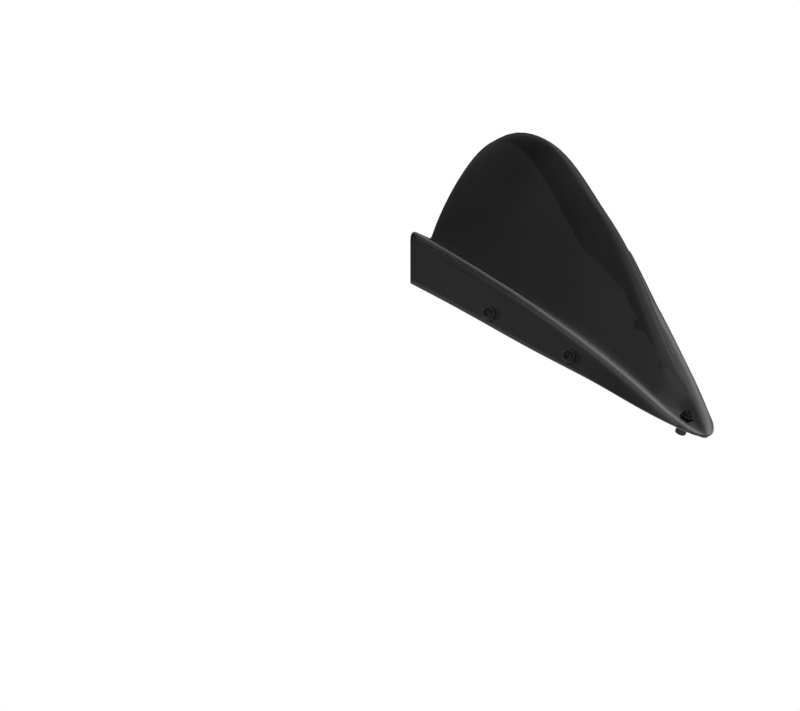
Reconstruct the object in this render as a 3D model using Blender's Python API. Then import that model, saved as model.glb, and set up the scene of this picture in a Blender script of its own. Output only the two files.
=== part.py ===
"""Racing-style windshield screen for a motorcycle nose fairing, with its five fixings.

Metres, +Z up, -Y towards the front of the motorcycle, +X its left side.
The origin is where the nose fixing's axis meets the underside of its rubber flange.
"""
import math

import bmesh
import bpy
import numpy as np
from mathutils import Matrix, Vector

MM = 0.001

# ---- screen sheet, millimetres: a = distance back from the nose tip, b = half width, z = height
SHEET_T = 3.0
PLAN_LENGTH = 243.5
CREST_OVERHANG = 26.0
CREST_A = (0.0, 12.0, 24.0, 36.0, 60.0, 85.0, 120.0, 160.0, 200.0, 230.0, 256.0, 273.0)
CREST_Z = (0.0, 8.6, 17.2, 26.8, 70.5, 118.9, 178.2, 223.0, 263.4, 279.4, 283.0, 278.4)
LEDGE_BACK = 0.447
LEDGE_IN = 0.894
TURN_POWER = 5.6
FOOT_ROUND = 4.0
FOLD_ROUND = 12.0
EDGE_ROUND = 0.7

# ---- loft stations along the sheet, nose to rear
STATION = (0.0, 0.12, 0.22, 0.32, 0.45, 0.60, 0.78, 0.90, 1.0)
EDGE_HALF_WIDTH = (0.0, 10.1, 19.2, 29.2, 41.4, 55.4, 80.9, 104.6, 127.7)
EDGE_HEIGHT = (0.0, 2.3, 7.4, 15.1, 28.9, 50.4, 83.5, 113.2, 140.1)
WING_HEIGHT = (0.5, 2.1, 4.6, 8.2, 16.1, 26.1, 39.0, 43.8, 47.0)
WING_LEAN = (20.0, 30.0, 42.0, 56.0, 73.0, 85.0, 90.0, 90.0, 90.0)
LEDGE_WIDTH = (0.3, 2.5, 5.0, 8.0, 10.0, 11.0, 18.0, 29.0, 41.4)
LEDGE_STEP = (0.0, 0.2, 0.5, 1.0, 1.8, 2.0, 0.4, -2.3, -4.3)
CREST_FULLNESS = (3.4, 3.4, 3.4, 3.4, 3.5, 3.4, 2.6, 1.95, 1.5)

# ---- mesh density
ROWS = 30
FIRST_ROW = 0.075
BUBBLE_STEPS = 9
FOLD_STEPS = 4
WING_STEPS = 4
WING_SPACING = 1.6
ROUND_SEGS = 24

# ---- fixings, millimetres, measured outwards from the sheet's outer face
HOLE_R = 3.25
FIX_RISE = 10.0
NOSE_HOLE_A = 24.0
FRONT_T = 0.66
REAR_T = 0.85
GAP = 0.3
WASHER_R = 6.0
WASHER_BORE_R = 2.75
WASHER_T = 1.0
HEAD_R = 4.75
HEAD_H = 2.75
SOCKET_FLAT = 1.5
SOCKET_DEPTH = 1.6
SHANK_R = 2.45
SHANK_LENGTH = 14.0
FLANGE_R = 7.0
FLANGE_T = 1.6
BARREL_R = 4.9
BARREL_LENGTH = 11.0
WELL_BORE_R = 2.8
POCKET_R = 4.1
INSERT_R = 3.8
INSERT_BORE_R = 2.75
INSERT_LENGTH = 6.0
NOSE_LIFT = 0.2
NOSE_SEAT_DROP = 1.15
SIDE_SEAT_DROP = 0.45


def smooth_curve(xs, ys, x):
    """Natural cubic spline through the stations."""
    xs = np.array(xs, float)
    ys = np.array(ys, float)
    n = len(xs)
    h = np.diff(xs)
    m = np.zeros((n, n))
    r = np.zeros(n)
    m[0, 0] = 1.0
    m[-1, -1] = 1.0
    for i in range(1, n - 1):
        m[i, i - 1] = h[i - 1]
        m[i, i] = 2.0 * (h[i - 1] + h[i])
        m[i, i + 1] = h[i]
        r[i] = 3.0 * ((ys[i + 1] - ys[i]) / h[i] - (ys[i] - ys[i - 1]) / h[i - 1])
    c = np.linalg.solve(m, r)
    i = int(np.clip(np.searchsorted(xs, x) - 1, 0, n - 2))
    b = (ys[i + 1] - ys[i]) / h[i] - h[i] * (2.0 * c[i] + c[i + 1]) / 3.0
    d = (c[i + 1] - c[i]) / (3.0 * h[i])
    u = x - xs[i]
    return float(ys[i] + b * u + c[i] * u * u + d * u ** 3)


def edge_point(t):
    """A point of the lower edge, as (b, a, z)."""
    b = smooth_curve(STATION, EDGE_HALF_WIDTH, t)
    z = smooth_curve(STATION, EDGE_HEIGHT, t)
    return Vector((b, PLAN_LENGTH * t * t, z))


def section_frame(t):
    """The four corners of a half section: crest, bubble foot, wing fold, lower edge."""
    low = edge_point(t)
    height = smooth_curve(STATION, WING_HEIGHT, t)
    lean = math.radians(smooth_curve(STATION, WING_LEAN, t))
    width = smooth_curve(STATION, LEDGE_WIDTH, t)
    step = smooth_curve(STATION, LEDGE_STEP, t)
    fold = low + Vector((-height * math.cos(lean), 0.0, height * math.sin(lean)))
    foot = fold + Vector((-LEDGE_IN * width, LEDGE_BACK * width, step))
    crest_a = low.y + CREST_OVERHANG * t * t
    crest = Vector((0.0, crest_a, smooth_curve(CREST_A, CREST_Z, crest_a)))
    return crest, foot, fold, low


def bubble_point(t, crest, foot, v):
    """A point of the bubble between the crest (v = 0) and its foot (v = 1)."""
    c = smooth_curve(STATION, CREST_FULLNESS, t)
    drop = math.sqrt(c * c + (1.0 + 2.0 * c) * v * v) - c
    a = crest.y + (foot.y - crest.y) * v ** TURN_POWER
    return Vector((foot.x * v, a, crest.z + (foot.z - crest.z) * drop))


def fold_arc(before, corner, after, cut, steps):
    """Round a corner of the section with a parabola that starts `cut` away from it."""
    start = corner + (before - corner).normalized() * cut
    end = corner + (after - corner).normalized() * cut
    out = []
    for k in range(steps + 1):
        u = k / steps
        out.append(start * (1 - u) ** 2 + corner * 2 * u * (1 - u) + end * u * u)
    return out


def half_section(t):
    """Points of a half section from the crest down to the lower edge."""
    crest, foot, fold, low = section_frame(t)
    width = (fold - foot).length
    height = (low - fold).length
    foot_cut = min(FOOT_ROUND, 0.3 * width)
    fold_cut = min(FOLD_ROUND, 0.6 * width, 0.42 * height)
    last = 1.0 - foot_cut / max((foot - crest).length, 1.0)
    out = []
    for k in range(BUBBLE_STEPS):
        out.append(bubble_point(t, crest, foot, last * k / BUBBLE_STEPS))
    out += fold_arc(bubble_point(t, crest, foot, last), foot, fold, foot_cut, FOLD_STEPS)
    out += fold_arc(foot, fold, low, fold_cut, FOLD_STEPS)
    start = out[-1]
    for k in range(1, WING_STEPS + 1):
        out.append(start.lerp(low, (k / WING_STEPS) ** WING_SPACING))
    return out


def surface_grid():
    """Rows of outer points, each from the right lower edge over the crest to the left one."""
    halves = []
    for i in range(ROWS):
        halves.append(half_section(FIRST_ROW + (1.0 - FIRST_ROW) * i / (ROWS - 1)))
    return [[Vector((-p.x, p.y, p.z)) for p in reversed(half[1:])] + half for half in halves]


def build_sheet(origin):
    """Outer face, inner face offset by the thickness, and a rounded rim between them."""
    rows = surface_grid()
    cols = len(rows[0])
    outer = [p for row in rows for p in row]
    tip = len(outer)
    outer.append(Vector((0.0, 0.0, 0.0)))
    faces = []
    for i in range(ROWS - 1):
        for j in range(cols - 1):
            k = i * cols + j
            faces.append((k, k + 1, k + cols + 1, k + cols))
    for j in range(cols - 1):
        faces.append((tip, j + 1, j))

    normals = [Vector() for _ in outer]
    for face in faces:
        corners = [outer[k] for k in face]
        n = (corners[2] - corners[0]).cross(corners[-1] - corners[1])
        for k in face:
            normals[k] += n.normalized()
    normals = [n.normalized() for n in normals]
    if normals[tip].z < 0.0:
        normals = [-n for n in normals]
        faces = [tuple(reversed(f)) for f in faces]

    rim = [tip]
    rim += [i * cols for i in range(ROWS)]
    rim += [(ROWS - 1) * cols + j for j in range(1, cols)]
    rim += [i * cols + cols - 1 for i in range(ROWS - 2, -1, -1)]

    verts = list(outer)
    verts += [p - n * SHEET_T for p, n in zip(outer, normals)]
    back = len(outer)
    solid = list(faces)
    solid += [tuple(k + back for k in reversed(f)) for f in faces]
    middle = []
    for s, k in enumerate(rim):
        along = outer[rim[(s + 1) % len(rim)]] - outer[rim[s - 1]]
        out_dir = along.cross(normals[k]).normalized()
        middle.append(len(verts))
        verts.append(outer[k] - normals[k] * SHEET_T * 0.5 + out_dir * EDGE_ROUND)
    centre = sum(outer, Vector()) / len(outer)
    sample = len(rim) // 2
    if (verts[middle[sample]] - outer[rim[sample]]).dot(outer[rim[sample]] - centre) < 0.0:
        for s, k in enumerate(rim):
            mid = outer[k] - normals[k] * SHEET_T * 0.5
            verts[middle[s]] = mid * 2.0 - verts[middle[s]]
    for s in range(len(rim)):
        e = (s + 1) % len(rim)
        solid.append((rim[s], middle[s], middle[e], rim[e]))
        solid.append((middle[s], rim[s] + back, rim[e] + back, middle[e]))
    return mesh_object("screen_shell", verts, solid, Matrix.Translation(-origin), 40.0)


def mesh_object(name, verts, faces, placing, sharp_deg):
    """A closed mesh in millimetres, placed and turned into metres."""
    mesh = bpy.data.meshes.new(name)
    mesh.from_pydata([(placing @ Vector(v)) * MM for v in verts], [], faces)
    mesh.validate()
    bm = bmesh.new()
    bm.from_mesh(mesh)
    bmesh.ops.recalc_face_normals(bm, faces=bm.faces)
    bm.to_mesh(mesh)
    bm.free()
    mesh.shade_smooth()
    mesh.set_sharp_from_angle(angle=math.radians(sharp_deg))
    obj = bpy.data.objects.new(name, mesh)
    bpy.context.scene.collection.objects.link(obj)
    return obj


def turned(name, rings, placing, closed):
    """Revolve rings of (radius, height, six_sided); `closed` joins last to first, else poles."""
    verts = []
    for radius, height, six_sided in rings:
        for k in range(ROUND_SEGS):
            angle = 2.0 * math.pi * k / ROUND_SEGS
            r = radius
            if six_sided:
                r = radius / math.cos(angle % (math.pi / 3) - math.pi / 6)
            verts.append((r * math.cos(angle), r * math.sin(angle), height))
    count = len(rings)
    faces = []
    spans = count if closed else count - 1
    for i in range(spans):
        a = i * ROUND_SEGS
        b = ((i + 1) % count) * ROUND_SEGS
        for k in range(ROUND_SEGS):
            n = (k + 1) % ROUND_SEGS
            faces.append((a + k, a + n, b + n, b + k))
    if not closed:
        faces.append(tuple(range(ROUND_SEGS)))
        faces.append(tuple(reversed(range((count - 1) * ROUND_SEGS, count * ROUND_SEGS))))
    return mesh_object(name, verts, faces, placing, 35.0)


def screw(name, placing):
    """M5 button-head screw with a hexagon socket."""
    base = GAP + WASHER_T + GAP
    top = base + HEAD_H
    tip = base - SHANK_LENGTH
    rings = [
        (SOCKET_FLAT, top - SOCKET_DEPTH, True),
        (SOCKET_FLAT, top, True),
        (HEAD_R * 0.62, top, False),
        (HEAD_R * 0.86, top - HEAD_H * 0.30, False),
        (HEAD_R, top - HEAD_H * 0.78, False),
        (HEAD_R, base, False),
        (SHANK_R, base, False),
        (SHANK_R, tip + 0.8, False),
        (SHANK_R - 0.8, tip, False),
    ]
    return turned(name, rings, placing, False)


def washer(name, placing):
    """Flat nylon washer under the screw head."""
    rings = [
        (WASHER_BORE_R, GAP, False),
        (WASHER_R, GAP, False),
        (WASHER_R, GAP + WASHER_T, False),
        (WASHER_BORE_R, GAP + WASHER_T, False),
    ]
    return turned(name, rings, placing, True)


def well_nut(name, placing, drop):
    """Flanged rubber body of a well nut, with a pocket at its end for the brass insert."""
    top = -SHEET_T - drop
    seat = top - FLANGE_T
    end = seat - BARREL_LENGTH
    shelf = end + INSERT_LENGTH + GAP
    rings = [
        (WELL_BORE_R, top, False),
        (FLANGE_R - 0.4, top, False),
        (FLANGE_R, top - 0.4, False),
        (FLANGE_R, seat, False),
        (BARREL_R, seat, False),
        (BARREL_R, end, False),
        (POCKET_R, end, False),
        (POCKET_R, shelf, False),
        (WELL_BORE_R, shelf, False),
    ]
    return turned(name, rings, placing, True)


def brass_insert(name, placing, drop):
    """Threaded brass sleeve at the end of the well nut."""
    end = -SHEET_T - drop - FLANGE_T - BARREL_LENGTH
    rings = [
        (INSERT_BORE_R, end, False),
        (INSERT_R - 0.3, end, False),
        (INSERT_R, end + 0.3, False),
        (INSERT_R, end + INSERT_LENGTH, False),
        (INSERT_BORE_R, end + INSERT_LENGTH, False),
    ]
    return turned(name, rings, placing, True)


def frame_at(point, normal):
    """Placing matrix with +Z along the outward normal of the sheet."""
    z = normal.normalized()
    x = Vector((0.0, 0.0, 1.0)).cross(z).normalized()
    y = z.cross(x)
    turn = Matrix((x, y, z)).transposed().to_4x4()
    return Matrix.Translation(point) @ turn


def wing_fixing(t, side):
    """Point and outward normal on the wing, FIX_RISE above the lower edge."""
    def at(u):
        _, _, fold, low = section_frame(u)
        return low + (fold - low).normalized() * FIX_RISE, (fold - low).normalized()
    point, up = at(t)
    along = (at(t + 0.01)[0] - at(t - 0.01)[0]).normalized()
    normal = up.cross(along).normalized()
    if normal.x < 0.0:
        normal = -normal
    return Vector((side * point.x, point.y, point.z)), Vector((side * normal.x, normal.y, normal.z))


def nose_fixing():
    """Point and outward normal on the centre line of the nose."""
    step = 1.0
    low = smooth_curve(CREST_A, CREST_Z, NOSE_HOLE_A - step)
    high = smooth_curve(CREST_A, CREST_Z, NOSE_HOLE_A + step)
    point = Vector((0.0, NOSE_HOLE_A, smooth_curve(CREST_A, CREST_Z, NOSE_HOLE_A)))
    normal = Vector((0.0, low - high, 2.0 * step)).normalized()
    return point + normal * NOSE_LIFT, normal


def paint(obj, slot, colour, metallic, roughness, alpha):
    """One Principled material per node."""
    mat = bpy.data.materials.new(slot)
    mat.use_nodes = True
    shader = mat.node_tree.nodes["Principled BSDF"]
    shader.inputs["Base Color"].default_value = (*colour, 1.0)
    shader.inputs["Metallic"].default_value = metallic
    shader.inputs["Roughness"].default_value = roughness
    shader.inputs["Alpha"].default_value = alpha
    obj.data.materials.append(mat)


def cut_hole(shell, placing):
    """Clearance hole through the sheet."""
    rings = [(HOLE_R, 6.0, False), (HOLE_R, -SHEET_T - 6.0, False)]
    cutter = turned("cutter", rings, placing, False)
    mod = shell.modifiers.new("hole", "BOOLEAN")
    mod.operation = "DIFFERENCE"
    mod.solver = "EXACT"
    mod.object = cutter
    depsgraph = bpy.context.evaluated_depsgraph_get()
    cut = bpy.data.meshes.new_from_object(shell.evaluated_get(depsgraph))
    shell.modifiers.clear()
    shell.data = cut
    bpy.data.objects.remove(cutter)


def build():
    """The whole screen and its fixings."""
    for obj in list(bpy.data.objects):
        bpy.data.objects.remove(obj)
    point, normal = nose_fixing()
    seat_depth = SHEET_T + NOSE_SEAT_DROP + FLANGE_T
    origin = point - normal * seat_depth
    shell = build_sheet(origin)
    fixings = [("nose", point, normal, NOSE_SEAT_DROP)]
    for place, t in (("front", FRONT_T), ("rear", REAR_T)):
        for name, side in (("left", 1.0), ("right", -1.0)):
            fixings.append((name + "_" + place, *wing_fixing(t, side), SIDE_SEAT_DROP))
    for label, where, outward, drop in fixings:
        placing = frame_at(where - origin, outward)
        cut_hole(shell, placing)
        paint(screw(label + "_screw", placing), label + "_screw",
              (0.02, 0.02, 0.021), 0.0, 0.35, 1.0)
        paint(washer(label + "_washer", placing), label + "_washer",
              (0.03, 0.03, 0.03), 0.0, 0.55, 1.0)
        paint(well_nut(label + "_well_nut", placing, drop), label + "_well_nut",
              (0.018, 0.018, 0.018), 0.0, 0.8, 1.0)
        paint(brass_insert(label + "_brass_insert", placing, drop), label + "_brass_insert",
              (0.72, 0.53, 0.22), 1.0, 0.35, 1.0)
    paint(shell, "screen_shell", (0.02, 0.02, 0.022), 0.0, 0.06, 0.9)


build()
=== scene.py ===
"""Looks for the smoked windshield screen: fine sheet, detailed fixings, studio."""
import math

import bmesh
import bpy
import numpy as np
from mathutils import Matrix, Vector


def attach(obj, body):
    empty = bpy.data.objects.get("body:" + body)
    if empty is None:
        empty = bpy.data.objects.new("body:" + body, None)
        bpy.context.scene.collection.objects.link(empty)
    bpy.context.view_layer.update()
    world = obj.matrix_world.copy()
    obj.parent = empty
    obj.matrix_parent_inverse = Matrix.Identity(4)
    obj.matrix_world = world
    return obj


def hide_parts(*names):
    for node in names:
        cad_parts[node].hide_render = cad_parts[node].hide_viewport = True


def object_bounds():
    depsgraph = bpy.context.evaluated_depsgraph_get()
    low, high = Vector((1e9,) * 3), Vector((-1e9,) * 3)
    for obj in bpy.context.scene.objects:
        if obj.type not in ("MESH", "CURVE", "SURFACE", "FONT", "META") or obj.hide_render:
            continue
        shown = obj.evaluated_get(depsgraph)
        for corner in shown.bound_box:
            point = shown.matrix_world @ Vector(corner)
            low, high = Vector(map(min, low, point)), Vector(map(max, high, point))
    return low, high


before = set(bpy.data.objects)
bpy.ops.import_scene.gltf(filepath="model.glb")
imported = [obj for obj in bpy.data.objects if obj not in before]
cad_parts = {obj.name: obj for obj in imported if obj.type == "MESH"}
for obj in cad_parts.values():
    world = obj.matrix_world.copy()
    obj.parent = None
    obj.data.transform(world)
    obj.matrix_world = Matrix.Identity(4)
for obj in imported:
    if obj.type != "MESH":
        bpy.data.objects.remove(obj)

CAD_LOW, CAD_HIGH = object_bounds()
MM = 0.001

# ---- sheet, millimetres: a = distance back from the nose tip, b = half width, z = height
SHEET_T = 3.0
PLAN_LENGTH = 243.5
CREST_OVERHANG = 26.0
CREST_A = (0.0, 12.0, 24.0, 36.0, 60.0, 85.0, 120.0, 160.0, 200.0, 230.0, 256.0, 273.0)
CREST_Z = (0.0, 8.6, 17.2, 26.8, 70.5, 118.9, 178.2, 223.0, 263.4, 279.4, 283.0, 278.4)
LEDGE_BACK = 0.447
LEDGE_IN = 0.894
TURN_POWER = 5.6
FOOT_ROUND = 4.0
FOLD_ROUND = 12.0
FOOT_SHARE = 0.3
FOLD_SHARE = 0.6
WING_SHARE = 0.42
EDGE_ROUND = 0.7
# how far the painted light band fades out on either side of each fold, mm
FOLD_PAINTED_LIGHT_REACH = 5.0
STATION = (0.0, 0.12, 0.22, 0.32, 0.45, 0.60, 0.78, 0.90, 1.0)
EDGE_HALF_WIDTH = (0.0, 10.1, 19.2, 29.2, 41.4, 55.4, 80.9, 104.6, 127.7)
EDGE_HEIGHT = (0.0, 2.3, 7.4, 15.1, 28.9, 50.4, 83.5, 113.2, 140.1)
WING_HEIGHT = (0.5, 2.1, 4.6, 8.2, 16.1, 26.1, 39.0, 43.8, 47.0)
WING_LEAN = (20.0, 30.0, 42.0, 56.0, 73.0, 85.0, 90.0, 90.0, 90.0)
LEDGE_WIDTH = (0.3, 2.5, 5.0, 8.0, 10.0, 11.0, 18.0, 29.0, 41.4)
LEDGE_STEP = (0.0, 0.2, 0.5, 1.0, 1.8, 2.0, 0.4, -2.3, -4.3)
CREST_FULLNESS = (3.4, 3.4, 3.4, 3.4, 3.5, 3.4, 2.6, 1.95, 1.5)

ROWS = 72
FIRST_ROW = 0.05
BUBBLE_STEPS = 24
FOLD_STEPS = 8
WING_STEPS = 9
WING_SPACING = 1.6
RIM_STEPS = 6

# ---- fixings, millimetres, measured outwards from the sheet's outer face
HOLE_R = 3.25
FIX_RISE = 10.0
NOSE_HOLE_A = 24.0
FRONT_T = 0.66
REAR_T = 0.85
GAP = 0.3
WASHER_R = 6.0
WASHER_BORE_R = 2.75
WASHER_T = 1.0
HEAD_R = 4.75
HEAD_H = 2.75
SOCKET_FLAT = 1.5
SOCKET_DEPTH = 1.6
SHANK_R = 2.45
SHANK_LENGTH = 14.0
THREAD_PITCH = 0.8
THREAD_DEPTH = 0.34
FLANGE_R = 7.0
FLANGE_T = 1.6
BARREL_R = 4.9
BARREL_LENGTH = 11.0
WELL_BORE_R = 2.8
POCKET_R = 4.1
INSERT_R = 3.8
INSERT_BORE_R = 2.75
INSERT_LENGTH = 6.0
NOSE_LIFT = 0.2
NOSE_SEAT_DROP = 1.15
SIDE_SEAT_DROP = 0.45

# ---- camera and studio, metres and watts
CAMERA_AT = (-2.2394, -2.5559, -0.1981)
CAMERA_AIM = (-0.1319, 0.2261, 0.0642)
CAMERA_LENS = 180.0
FLOOR_Z = -0.46
FLOOR_SIZE = 14.0
ROOM_DIM = 0.12
ROOM_FRONT_GAIN = 0.20
ROOM_LOW_GAIN = 0.16
ROOM_RIGHT_GAIN = 0.14
BACKDROP_GAIN = 0.16
ROOM_AHEAD_LOSS = 0.78
SOFTBOX_AT = (0.2, 0.4, 2.6)
SOFTBOX_AIM = (0.0, 0.1, 0.1)
SOFTBOX_SIZE = 2.2
SOFTBOX_POWER = 14.0

# ---- smoked acrylic: flat tint between these two, and a painted light band along each fold (paler colour, less transmission)
TINT_DARK = (0.0084, 0.0080, 0.0081)
TINT_LIGHT = (0.0104, 0.0099, 0.0101)
FOLD_PAINTED_LIGHT_COLOUR = (0.20, 0.20, 0.202, 1.0)
FOLD_PAINTED_LIGHT_TRANSMISSION = 0.2


# ------------------------------------------------------------------ sheet geometry
def smooth_curve(xs, ys, x):
    """Natural cubic spline through the stations."""
    xs = np.array(xs, float)
    ys = np.array(ys, float)
    n = len(xs)
    h = np.diff(xs)
    m = np.zeros((n, n))
    r = np.zeros(n)
    m[0, 0] = 1.0
    m[-1, -1] = 1.0
    for i in range(1, n - 1):
        m[i, i - 1] = h[i - 1]
        m[i, i] = 2.0 * (h[i - 1] + h[i])
        m[i, i + 1] = h[i]
        r[i] = 3.0 * ((ys[i + 1] - ys[i]) / h[i] - (ys[i] - ys[i - 1]) / h[i - 1])
    c = np.linalg.solve(m, r)
    i = int(np.clip(np.searchsorted(xs, x) - 1, 0, n - 2))
    b = (ys[i + 1] - ys[i]) / h[i] - h[i] * (2.0 * c[i] + c[i + 1]) / 3.0
    d = (c[i + 1] - c[i]) / (3.0 * h[i])
    u = x - xs[i]
    return float(ys[i] + b * u + c[i] * u * u + d * u ** 3)


def edge_point(t):
    """A point of the lower edge, as (b, a, z)."""
    b = smooth_curve(STATION, EDGE_HALF_WIDTH, t)
    z = smooth_curve(STATION, EDGE_HEIGHT, t)
    return Vector((b, PLAN_LENGTH * t * t, z))


def section_frame(t):
    """The four corners of a half section: crest, bubble foot, wing fold, lower edge."""
    low = edge_point(t)
    height = smooth_curve(STATION, WING_HEIGHT, t)
    lean = math.radians(smooth_curve(STATION, WING_LEAN, t))
    width = smooth_curve(STATION, LEDGE_WIDTH, t)
    step = smooth_curve(STATION, LEDGE_STEP, t)
    fold = low + Vector((-height * math.cos(lean), 0.0, height * math.sin(lean)))
    foot = fold + Vector((-LEDGE_IN * width, LEDGE_BACK * width, step))
    crest_a = low.y + CREST_OVERHANG * t * t
    crest = Vector((0.0, crest_a, smooth_curve(CREST_A, CREST_Z, crest_a)))
    return crest, foot, fold, low


def bubble_point(t, crest, foot, v):
    """A point of the bubble between the crest (v = 0) and its foot (v = 1)."""
    c = smooth_curve(STATION, CREST_FULLNESS, t)
    drop = math.sqrt(c * c + (1.0 + 2.0 * c) * v * v) - c
    a = crest.y + (foot.y - crest.y) * v ** TURN_POWER
    return Vector((foot.x * v, a, crest.z + (foot.z - crest.z) * drop))


def fold_arc(before, corner, after, cut, steps):
    """Round a corner of the section with a parabola that starts `cut` away from it."""
    start = corner + (before - corner).normalized() * cut
    end = corner + (after - corner).normalized() * cut
    out = []
    for k in range(steps + 1):
        u = k / steps
        out.append(start * (1 - u) ** 2 + corner * 2 * u * (1 - u) + end * u * u)
    return out


def half_section(t):
    """Points of a half section from the crest down to the lower edge."""
    crest, foot, fold, low = section_frame(t)
    width = (fold - foot).length
    height = (low - fold).length
    foot_cut = min(FOOT_ROUND, FOOT_SHARE * width)
    fold_cut = min(FOLD_ROUND, FOLD_SHARE * width, WING_SHARE * height)
    last = 1.0 - foot_cut / max((foot - crest).length, 1.0)
    out = []
    for k in range(BUBBLE_STEPS):
        out.append(bubble_point(t, crest, foot, last * k / BUBBLE_STEPS))
    out += fold_arc(bubble_point(t, crest, foot, last), foot, fold, foot_cut, FOLD_STEPS)
    out += fold_arc(foot, fold, low, fold_cut, FOLD_STEPS)
    start = out[-1]
    for k in range(1, WING_STEPS + 1):
        out.append(start.lerp(low, (k / WING_STEPS) ** WING_SPACING))
    return out


def surface_grid():
    """Rows of outer points, each from the right lower edge over the crest to the left one."""
    halves = []
    for i in range(ROWS):
        halves.append(half_section(FIRST_ROW + (1.0 - FIRST_ROW) * i / (ROWS - 1)))
    return [[Vector((-p.x, p.y, p.z)) for p in reversed(half[1:])] + half for half in halves]


def painted_fold_light_share(half):
    """Share of the painted light band at each point of a half section: 1 on the fold, fading away from it.
    """
    fold = BUBBLE_STEPS + FOLD_STEPS + 2
    shares = []
    for j in range(len(half)):
        low, high = min(j, fold), max(j, fold)
        reach = sum((half[k + 1] - half[k]).length for k in range(low, high))
        shares.append(math.exp(-(reach / FOLD_PAINTED_LIGHT_REACH) ** 2))
    return shares


def build_sheet(origin):
    """Outer face, inner face, and a polished half-round rim, as one closed mesh."""
    rows = surface_grid()
    cols = len(rows[0])
    outer = [p for row in rows for p in row]
    tip = len(outer)
    outer.append(Vector((0.0, 0.0, 0.0)))
    faces = []
    for i in range(ROWS - 1):
        for j in range(cols - 1):
            k = i * cols + j
            faces.append((k, k + 1, k + cols + 1, k + cols))
    for j in range(cols - 1):
        faces.append((tip, j + 1, j))
    normals = [Vector() for _ in outer]
    for face in faces:
        corners = [outer[k] for k in face]
        n = (corners[2] - corners[0]).cross(corners[-1] - corners[1]).normalized()
        for k in face:
            normals[k] += n
    normals = [n.normalized() for n in normals]
    if normals[tip].z < 0.0:
        normals = [-n for n in normals]
        faces = [tuple(reversed(f)) for f in faces]
    rim = [tip]
    rim += [i * cols for i in range(ROWS)]
    rim += [(ROWS - 1) * cols + j for j in range(1, cols)]
    rim += [i * cols + cols - 1 for i in range(ROWS - 2, -1, -1)]
    verts = list(outer) + [p - n * SHEET_T for p, n in zip(outer, normals)]
    back = len(outer)
    solid = list(faces) + [tuple(k + back for k in reversed(f)) for f in faces]
    rings = []
    for s, k in enumerate(rim):
        along = (outer[rim[(s + 1) % len(rim)]] - outer[rim[s - 1]]).normalized()
        out_dir = normals[k].cross(along).normalized()
        ring = [k]
        for q in range(1, RIM_STEPS):
            turn = math.pi * q / RIM_STEPS
            depth = SHEET_T * 0.5 * (1.0 - math.cos(turn))
            ring.append(len(verts))
            verts.append(outer[k] - normals[k] * depth + out_dir * EDGE_ROUND * math.sin(turn))
        ring.append(k + back)
        rings.append(ring)
    rear = rings[ROWS + cols // 2 - 1]
    if verts[rear[RIM_STEPS // 2]].y < outer[rear[0]].y:
        for ring in rings:
            for q in range(1, RIM_STEPS):
                across = 0.5 * (1.0 - math.cos(math.pi * q / RIM_STEPS))
                straight = outer[ring[0]].lerp(verts[ring[-1]], across)
                verts[ring[q]] = straight * 2.0 - verts[ring[q]]
    for s in range(len(rings)):
        one, two = rings[s], rings[(s + 1) % len(rings)]
        for q in range(RIM_STEPS):
            solid.append((one[q], one[q + 1], two[q + 1], two[q]))
    sheet = new_mesh("screen_sheet", verts, solid, Matrix.Translation(-origin), 50.0)
    # painted light band: each point's share of the pale fold colour, stored as a mesh attribute
    painted_fold_light = [painted_fold_light_share(row[cols // 2:]) for row in rows]
    shares = [value for half in painted_fold_light for value in list(reversed(half[1:])) + half] + [0.0]
    shares += shares
    shares += [0.0] * (len(verts) - len(shares))
    sheet.data.attributes.new("painted_fold_light", "FLOAT", "POINT").data.foreach_set("value", shares)
    return sheet


# ------------------------------------------------------------------ mesh helpers
def new_mesh(name, verts, faces, placing, sharp_deg):
    """A closed mesh in millimetres, placed, turned into metres and kept inside the CAD's box."""
    places = np.array([(placing @ Vector(v)) * MM for v in verts])
    mesh = bpy.data.meshes.new(name)
    mesh.from_pydata(np.clip(places, CAD_LOW, CAD_HIGH).tolist(), [], faces)
    mesh.validate()
    bm = bmesh.new()
    bm.from_mesh(mesh)
    bmesh.ops.recalc_face_normals(bm, faces=bm.faces)
    bm.to_mesh(mesh)
    bm.free()
    mesh.shade_smooth()
    mesh.set_sharp_from_angle(angle=math.radians(sharp_deg))
    obj = bpy.data.objects.new(name, mesh)
    bpy.context.scene.collection.objects.link(obj)
    return obj


def turned(name, rings, placing, closed, segs=48, sharp_deg=32.0, shape=None):
    """Revolve rings of (radius, height, six_sided); `shape` may change a radius by angle."""
    verts = []
    for radius, height, six_sided in rings:
        for k in range(segs):
            angle = 2.0 * math.pi * k / segs
            r = radius
            if six_sided:
                r = radius / math.cos(angle % (math.pi / 3) - math.pi / 6)
            if shape:
                r = shape(r, height, angle)
            verts.append((r * math.cos(angle), r * math.sin(angle), height))
    count = len(rings)
    faces = []
    for i in range(count if closed else count - 1):
        a = i * segs
        b = ((i + 1) % count) * segs
        for k in range(segs):
            n = (k + 1) % segs
            faces.append((a + k, a + n, b + n, b + k))
    if not closed:
        faces.append(tuple(range(segs)))
        faces.append(tuple(reversed(range((count - 1) * segs, count * segs))))
    return new_mesh(name, verts, faces, placing, sharp_deg)


def rounded(r0, z0, r1, z1, steps, bulge_r, bulge_z):
    """Ring positions along an elliptical corner from (r0, z0) to (r1, z1)."""
    out = []
    for k in range(steps + 1):
        u = 0.5 * math.pi * k / steps
        s, c = math.sin(u), math.cos(u)
        r = r0 + (r1 - r0) * (s if bulge_r else 1.0 - c)
        z = z0 + (z1 - z0) * (s if bulge_z else 1.0 - c)
        out.append((r, z, False))
    return out


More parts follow.
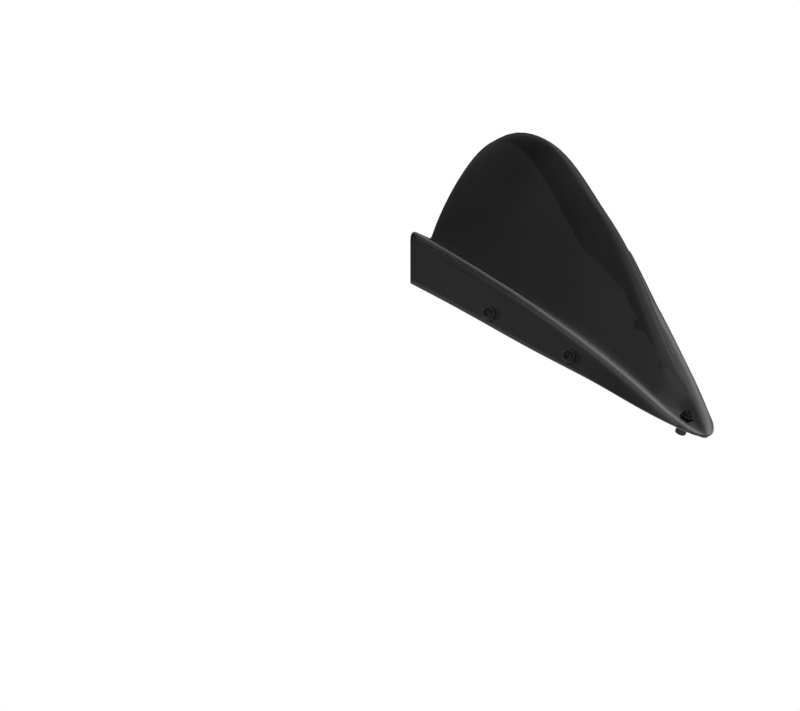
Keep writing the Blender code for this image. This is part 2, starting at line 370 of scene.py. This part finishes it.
def thread(depth, pitch, low, high, inward):
    """Radius change of a V thread between two heights, fading out at both ends."""
    def shape(r, z, angle):
        if z <= low or z >= high:
            return r
        wave = (z / pitch - angle / (2.0 * math.pi)) % 1.0
        tooth = 1.0 - abs(2.0 * wave - 1.0)
        fade = min(1.0, (z - low) / pitch, (high - z) / pitch)
        cut = depth * tooth * fade
        return r + cut if inward else r - cut
    return shape


# ------------------------------------------------------------------ fixings
def make_screw(name, placing):
    """M5 button-head screw: domed head, chamfered hexagon socket, rolled thread."""
    base = GAP + WASHER_T + GAP
    top = base + HEAD_H
    tip = base - SHANK_LENGTH
    rings = [
        (SOCKET_FLAT * 0.35, top - SOCKET_DEPTH - 0.25, False),
        (SOCKET_FLAT, top - SOCKET_DEPTH, True),
        (SOCKET_FLAT, top - 0.22, True),
        (SOCKET_FLAT + 0.16, top - 0.04, True),
        (SOCKET_FLAT + 0.45, top, False),
        (HEAD_R * 0.52, top, False),
    ]
    dome = rounded(HEAD_R * 0.52, top, HEAD_R, base + 0.55, 9, True, False)
    rings += dome[1:]
    rings += rounded(HEAD_R, base + 0.32, HEAD_R - 0.25, base, 4, False, True)
    rings += [(SHANK_R + 0.3, base, False), (SHANK_R, base - 0.35, False)]
    z = base - 0.6
    while z > tip + 0.7:
        rings.append((SHANK_R, z, False))
        z -= THREAD_PITCH / 5.0
    rings += [(SHANK_R - 0.15, tip + 0.5, False), (SHANK_R - 0.75, tip, False), (0.6, tip, False)]
    shape = thread(THREAD_DEPTH, THREAD_PITCH, tip + 0.6, base - 1.2, False)
    return turned(name, rings, placing, False, 36, 30.0, shape)


def make_washer(name, placing):
    """Moulded nylon washer with broken edges."""
    top = GAP + WASHER_T
    soft = 0.18
    rings = rounded(WASHER_BORE_R, GAP + soft, WASHER_BORE_R + soft, GAP, 3, False, True)
    rings += rounded(WASHER_R - soft, GAP, WASHER_R, GAP + soft, 4, True, False)
    rings += rounded(WASHER_R, top - soft, WASHER_R - soft, top, 4, False, True)
    rings += rounded(WASHER_BORE_R + soft, top, WASHER_BORE_R, top - soft, 3, True, False)
    return turned(name, rings, placing, True)


def make_well_nut(name, placing, drop):
    """Rubber well nut: rounded flange, slightly waisted barrel, lead-in taper at its end."""
    top = -SHEET_T - drop
    seat = top - FLANGE_T
    end = seat - BARREL_LENGTH
    shelf = end + INSERT_LENGTH + GAP
    rings = [(WELL_BORE_R, top - 0.15, False), (WELL_BORE_R + 0.15, top, False)]
    rings += rounded(FLANGE_R - 0.5, top, FLANGE_R, top - 0.5, 5, True, False)
    rings += rounded(FLANGE_R, seat + 0.2, FLANGE_R - 0.2, seat, 3, False, True)
    rings += [(BARREL_R + 0.12, seat, False), (BARREL_R, seat - 0.2, False)]
    for k in range(1, 10):
        u = k / 10.0
        waist = BARREL_R - 0.16 * math.sin(math.pi * u)
        rings.append((waist, seat - 0.2 - (BARREL_LENGTH - 1.4) * u, False))
    rings += [(BARREL_R, end + 1.2, False), (BARREL_R - 0.35, end + 0.15, False)]
    rings += [(BARREL_R - 0.5, end, False), (POCKET_R + 0.08, end, False)]
    rings.append((POCKET_R, end + 0.1, False))
    rings += [(POCKET_R, shelf, False), (WELL_BORE_R, shelf, False)]
    return turned(name, rings, placing, True, 48, 40.0)


def make_insert(name, placing, drop):
    """Turned brass insert with a grooved outside and an M5 thread."""
    end = -SHEET_T - drop - FLANGE_T - BARREL_LENGTH
    top = end + INSERT_LENGTH
    rings = [(INSERT_BORE_R + 0.3, end, False), (INSERT_R - 0.3, end, False)]
    rings.append((INSERT_R, end + 0.3, False))
    z = end + 0.9
    while z < top - 0.8:
        rings += [(INSERT_R, z, False), (INSERT_R - 0.25, z + 0.12, False)]
        rings += [(INSERT_R - 0.25, z + 0.5, False), (INSERT_R, z + 0.62, False)]
        z += 1.15
    rings += [(INSERT_R, top - 0.2, False), (INSERT_R - 0.2, top, False)]
    rings.append((INSERT_BORE_R + 0.2, top, False))
    z = top - 0.2
    while z > end + 0.35:
        rings.append((INSERT_BORE_R, z, False))
        z -= THREAD_PITCH / 5.0
    low_cut = thread(0.2, THREAD_PITCH, end + 0.3, top - 0.3, True)

    def shape(r, height, angle):
        return low_cut(r, height, angle) if r < INSERT_BORE_R + 0.05 else r
    return turned(name, rings, placing, True, 36, 30.0, shape)


def frame_at(point, normal):
    """Placing matrix with +Z along the outward normal of the sheet."""
    z = normal.normalized()
    x = Vector((0.0, 0.0, 1.0)).cross(z).normalized()
    y = z.cross(x)
    turn = Matrix((x, y, z)).transposed().to_4x4()
    return Matrix.Translation(point) @ turn


def wing_fixing(t, side):
    """Point and outward normal on the wing, FIX_RISE above the lower edge."""
    def at(u):
        _, _, fold, low = section_frame(u)
        return low + (fold - low).normalized() * FIX_RISE, (fold - low).normalized()
    point, up = at(t)
    along = (at(t + 0.01)[0] - at(t - 0.01)[0]).normalized()
    normal = up.cross(along).normalized()
    if normal.x < 0.0:
        normal = -normal
    mirror = Vector((side, 1.0, 1.0))
    return point * mirror, normal * mirror


def nose_fixing():
    """Point and outward normal on the centre line of the nose."""
    step = 1.0
    low = smooth_curve(CREST_A, CREST_Z, NOSE_HOLE_A - step)
    high = smooth_curve(CREST_A, CREST_Z, NOSE_HOLE_A + step)
    point = Vector((0.0, NOSE_HOLE_A, smooth_curve(CREST_A, CREST_Z, NOSE_HOLE_A)))
    normal = Vector((0.0, low - high, 2.0 * step)).normalized()
    return point + normal * NOSE_LIFT, normal


def cut_holes(sheet, placings):
    """Clearance holes through the sheet, cut once and kept as plain mesh."""
    for placing in placings:
        rings = [(HOLE_R, 5.0, False), (HOLE_R, -SHEET_T - 5.0, False)]
        cutter = turned("cutter", rings, placing, False, 40)
        mod = sheet.modifiers.new("hole", "BOOLEAN")
        mod.operation = "DIFFERENCE"
        mod.solver = "EXACT"
        mod.object = cutter
        depsgraph = bpy.context.evaluated_depsgraph_get()
        cut = bpy.data.meshes.new_from_object(sheet.evaluated_get(depsgraph))
        sheet.modifiers.clear()
        sheet.data = cut
        bpy.data.objects.remove(cutter)


# ------------------------------------------------------------------ materials
class Nodes:
    """Small helper around a material's node tree."""

    def __init__(self, name):
        self.mat = bpy.data.materials.new(name)
        self.mat.use_nodes = True
        self.tree = self.mat.node_tree
        self.shader = self.tree.nodes["Principled BSDF"]
        self.coord = self.tree.nodes.new("ShaderNodeTexCoord")

    def put(self, **values):
        for key, value in values.items():
            self.shader.inputs[key.replace("_", " ")].default_value = value

    def link(self, out, to):
        self.tree.links.new(out, to)

    def noise(self, scale, detail=3.0, rough=0.5, stretch=None):
        node = self.tree.nodes.new("ShaderNodeTexNoise")
        node.inputs["Scale"].default_value = scale
        node.inputs["Detail"].default_value = detail
        node.inputs["Roughness"].default_value = rough
        source = self.coord.outputs["Object"]
        if stretch:
            mapping = self.tree.nodes.new("ShaderNodeMapping")
            mapping.inputs["Scale"].default_value = stretch
            self.link(source, mapping.inputs["Vector"])
            source = mapping.outputs["Vector"]
        self.link(source, node.inputs["Vector"])
        return node.outputs["Fac"]

    def remap(self, value, low, high, to_low, to_high):
        node = self.tree.nodes.new("ShaderNodeMapRange")
        node.inputs["From Min"].default_value = low
        node.inputs["From Max"].default_value = high
        node.inputs["To Min"].default_value = to_low
        node.inputs["To Max"].default_value = to_high
        self.link(value, node.inputs["Value"])
        return node.outputs["Result"]

    def blend(self, factor, one, two):
        node = self.tree.nodes.new("ShaderNodeMix")
        node.data_type = "RGBA"
        self.link(factor, node.inputs["Factor"])
        node.inputs["A"].default_value = (*one, 1.0)
        node.inputs["B"].default_value = (*two, 1.0)
        return node.outputs["Result"]

    def bump(self, height, distance, strength=1.0, below=None):
        node = self.tree.nodes.new("ShaderNodeBump")
        node.inputs["Distance"].default_value = distance
        node.inputs["Strength"].default_value = strength
        self.link(height, node.inputs["Height"])
        if below:
            self.link(below, node.inputs["Normal"])
        return node.outputs["Normal"]


def smoked_acrylic():
    """Dark smoke cast acrylic: tinted through, polished, faintly wavy, with a painted light band along the
    folds.
    """
    n = Nodes("smoked_acrylic_looks")
    cloud = n.remap(n.noise(9.0, 2.0), 0.35, 0.65, 0.0, 1.0)
    tint = n.blend(cloud, TINT_DARK, TINT_LIGHT)
    # painted light band along each fold: paler colour and less transmission where the fold attribute is high
    painted_fold_light = n.tree.nodes.new("ShaderNodeAttribute")
    painted_fold_light.attribute_name = "painted_fold_light"
    pale = n.tree.nodes.new("ShaderNodeMix")
    pale.data_type = "RGBA"
    n.link(painted_fold_light.outputs["Fac"], pale.inputs["Factor"])
    n.link(tint, pale.inputs["A"])
    pale.inputs["B"].default_value = FOLD_PAINTED_LIGHT_COLOUR
    n.link(pale.outputs["Result"], n.shader.inputs["Base Color"])
    clear = n.remap(painted_fold_light.outputs["Fac"], 0.0, 1.0, 1.0, FOLD_PAINTED_LIGHT_TRANSMISSION)
    n.link(clear, n.shader.inputs["Transmission Weight"])
    haze = n.remap(n.noise(38.0, 5.0, 0.6), 0.35, 0.75, 0.012, 0.045)
    n.link(haze, n.shader.inputs["Roughness"])
    wave = n.bump(n.noise(14.0, 1.5), 0.00022, 0.6)
    fine = n.bump(n.noise(2600.0, 2.0), 0.000004, 0.35, wave)
    n.link(fine, n.shader.inputs["Normal"])
    n.put(IOR=1.49, Specular_IOR_Level=0.5)
    return n.mat


def black_steel():
    """Black-coated steel: satin, with tiny pits and rubbed, lighter patches."""
    n = Nodes("black_screw_steel_looks")
    worn = n.remap(n.noise(900.0, 4.0, 0.6), 0.52, 0.75, 0.0, 1.0)
    n.link(n.blend(worn, (0.018, 0.018, 0.019), (0.060, 0.059, 0.057)), n.shader.inputs["Base Color"])
    n.link(n.remap(worn, 0.0, 1.0, 0.34, 0.22), n.shader.inputs["Roughness"])
    n.link(n.bump(n.noise(5200.0, 2.0), 0.00001, 0.5), n.shader.inputs["Normal"])
    n.put(Metallic=0.85)
    return n.mat


def nylon():
    """Black moulded nylon: slightly waxy, fine spark-eroded texture."""
    n = Nodes("nylon_looks")
    tone = n.noise(700.0, 3.0)
    n.link(n.blend(tone, (0.010, 0.010, 0.010), (0.024, 0.024, 0.025)), n.shader.inputs["Base Color"])
    n.link(n.remap(n.noise(1500.0, 2.0), 0.3, 0.7, 0.38, 0.56), n.shader.inputs["Roughness"])
    n.link(n.bump(n.noise(4200.0, 3.0), 0.00002, 0.5), n.shader.inputs["Normal"])
    n.put(Subsurface_Weight=0.04)
    return n.mat


def well_nut_rubber():
    """Moulded black rubber: matte, dusty high spots, fine moulding grain."""
    n = Nodes("well_nut_rubber_looks")
    dust = n.remap(n.noise(420.0, 5.0, 0.65), 0.45, 0.8, 0.0, 1.0)
    n.link(n.blend(dust, (0.012, 0.012, 0.012), (0.045, 0.044, 0.042)), n.shader.inputs["Base Color"])
    n.link(n.remap(dust, 0.0, 1.0, 0.62, 0.9), n.shader.inputs["Roughness"])
    n.link(n.bump(n.noise(3000.0, 4.0), 0.00003, 0.6), n.shader.inputs["Normal"])
    n.put(Specular_IOR_Level=0.35)
    return n.mat


def turned_brass():
    """Lathe-turned brass: warm, with ring marks and slight tarnish."""
    n = Nodes("insert_brass_looks")
    stain = n.remap(n.noise(600.0, 4.0, 0.6), 0.4, 0.75, 0.0, 1.0)
    n.link(n.blend(stain, (0.76, 0.57, 0.26), (0.46, 0.31, 0.13)), n.shader.inputs["Base Color"])
    n.link(n.remap(stain, 0.0, 1.0, 0.20, 0.42), n.shader.inputs["Roughness"])
    n.link(n.bump(n.noise(3800.0, 2.0, 0.5, (1.0, 1.0, 0.12)), 0.00001, 0.5), n.shader.inputs["Normal"])
    n.put(Metallic=1.0)
    return n.mat


def floor_finish():
    """Pale matt studio floor."""
    n = Nodes("studio_floor")
    n.link(n.blend(n.noise(3.0, 4.0), (0.80, 0.80, 0.80), (0.86, 0.86, 0.86)), n.shader.inputs["Base Color"])
    n.put(Roughness=0.8)
    return n.mat


# ------------------------------------------------------------------ object
def build_object():
    """The fine sheet and five detailed fixings, each standing for its CAD node."""
    looks = {
        "smoked_acrylic": smoked_acrylic(),
        "black_screw_steel": black_steel(),
        "nylon": nylon(),
        "well_nut_rubber": well_nut_rubber(),
        "insert_brass": turned_brass(),
    }

    def adopt(obj, node, slot):
        obj.data.materials.clear()
        obj.data.materials.append(looks[slot])
        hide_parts(node)
        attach(obj, "root")

    point, normal = nose_fixing()
    origin = point - normal * (SHEET_T + NOSE_SEAT_DROP + FLANGE_T)
    fixings = [("nose", point, normal, NOSE_SEAT_DROP)]
    for place, t in (("front", FRONT_T), ("rear", REAR_T)):
        for name, side in (("left", 1.0), ("right", -1.0)):
            fixings.append((name + "_" + place, *wing_fixing(t, side), SIDE_SEAT_DROP))
    sheet = build_sheet(origin)
    placings = [frame_at(where - origin, outward) for _, where, outward, _ in fixings]
    cut_holes(sheet, placings)
    adopt(sheet, "screen_shell", "smoked_acrylic")
    for (label, _, _, drop), placing in zip(fixings, placings):
        adopt(make_screw(label + "_screw_fine", placing), label + "_screw", "black_screw_steel")
        adopt(make_washer(label + "_washer_fine", placing), label + "_washer", "nylon")
        well_nut = make_well_nut(label + "_well_nut_fine", placing, drop)
        adopt(well_nut, label + "_well_nut", "well_nut_rubber")
        insert = make_insert(label + "_brass_insert_fine", placing, drop)
        adopt(insert, label + "_brass_insert", "insert_brass")


# ------------------------------------------------------------------ studio
def build_studio():
    """Plain pale floor, white light all round, a soft box above, and the camera.

    Rays reflected by the object see a dimmer, uneven room instead of the white; light that
    passes through the sheet still sees the white.
    """
    bpy.ops.mesh.primitive_plane_add(size=FLOOR_SIZE, location=(0.0, 0.0, FLOOR_Z))
    floor = bpy.context.object
    floor.name = "studio_floor"
    floor.data.materials.append(floor_finish())

    camera_at = Vector(CAMERA_AT)
    forward = (Vector(CAMERA_AIM) - camera_at).normalized()

    world = bpy.data.worlds.new("studio")
    bpy.context.scene.world = world
    world.use_nodes = True
    tree = world.node_tree
    back = tree.nodes["Background"]
    coord = tree.nodes.new("ShaderNodeTexCoord").outputs["Generated"]

    def along(axis):
        node = tree.nodes.new("ShaderNodeVectorMath")
        node.operation = "DOT_PRODUCT"
        node.inputs[1].default_value = axis
        tree.links.new(coord, node.inputs[0])
        return node.outputs["Value"]

    def step(value, start, end, gain):
        node = tree.nodes.new("ShaderNodeMapRange")
        node.interpolation_type = "SMOOTHSTEP"
        node.inputs["From Min"].default_value = start
        node.inputs["From Max"].default_value = end
        node.inputs["To Max"].default_value = gain
        tree.links.new(value, node.inputs["Value"])
        return node.outputs["Result"]

    def combine(kind, one, two):
        node = tree.nodes.new("ShaderNodeMath")
        node.operation = kind
        for value, to in ((one, node.inputs[0]), (two, node.inputs[1])):
            if isinstance(value, float):
                to.default_value = value
            else:
                tree.links.new(value, to)
        return node.outputs["Value"]

    height = along((0.0, 0.0, 1.0))
    depth = along((forward.x, forward.y, 0.0))
    room = combine("ADD", step(height, 0.45, 0.05, ROOM_LOW_GAIN), ROOM_DIM)
    room = combine("ADD", room, step(along((0.0, -1.0, 0.0)), -0.3, 0.4, ROOM_FRONT_GAIN))
    room = combine("ADD", room, step(along((1.0, 0.0, 0.0)), 0.55, 0.7, ROOM_RIGHT_GAIN))
    backdrop = step(depth, 0.50, 0.62, BACKDROP_GAIN)
    room = combine("ADD", room, combine("MULTIPLY", backdrop, step(height, 0.25, 0.1, 1.0)))
    ahead = combine("SUBTRACT", 1.0, step(depth, 0.75, 0.95, ROOM_AHEAD_LOSS))
    room = combine("MULTIPLY", room, ahead)
    path = tree.nodes.new("ShaderNodeLightPath").outputs
    shiny = combine("MULTIPLY", path["Is Glossy Ray"],
                    combine("SUBTRACT", 1.0, path["Is Transmission Ray"]))
    plain = combine("SUBTRACT", 1.0, shiny)
    strength = combine("ADD", plain, combine("MULTIPLY", room, shiny))
    tree.links.new(strength, back.inputs["Strength"])
    back.inputs["Color"].default_value = (1.0, 1.0, 1.0, 1.0)

    light = bpy.data.lights.new("top_softbox", "AREA")
    light.shape = "RECTANGLE"
    light.size = SOFTBOX_SIZE
    light.size_y = SOFTBOX_SIZE
    light.energy = SOFTBOX_POWER
    lamp = bpy.data.objects.new("top_softbox", light)
    bpy.context.scene.collection.objects.link(lamp)
    lamp.location = SOFTBOX_AT
    lamp.visible_glossy = False
    lamp.rotation_mode = "QUATERNION"
    shine = Vector(SOFTBOX_AIM) - Vector(SOFTBOX_AT)
    lamp.rotation_quaternion = shine.to_track_quat("-Z", "Y")

    cam_data = bpy.data.cameras.new("camera")
    cam_data.lens = CAMERA_LENS
    cam_data.sensor_width = 36.0
    cam_data.clip_end = 60.0
    cam = bpy.data.objects.new("camera", cam_data)
    bpy.context.scene.collection.objects.link(cam)
    cam.location = camera_at
    cam.rotation_mode = "QUATERNION"
    cam.rotation_quaternion = forward.to_track_quat("-Z", "Y")
    bpy.context.scene.camera = cam
    bpy.context.scene.view_settings.view_transform = "Standard"


build_object()
build_studio()
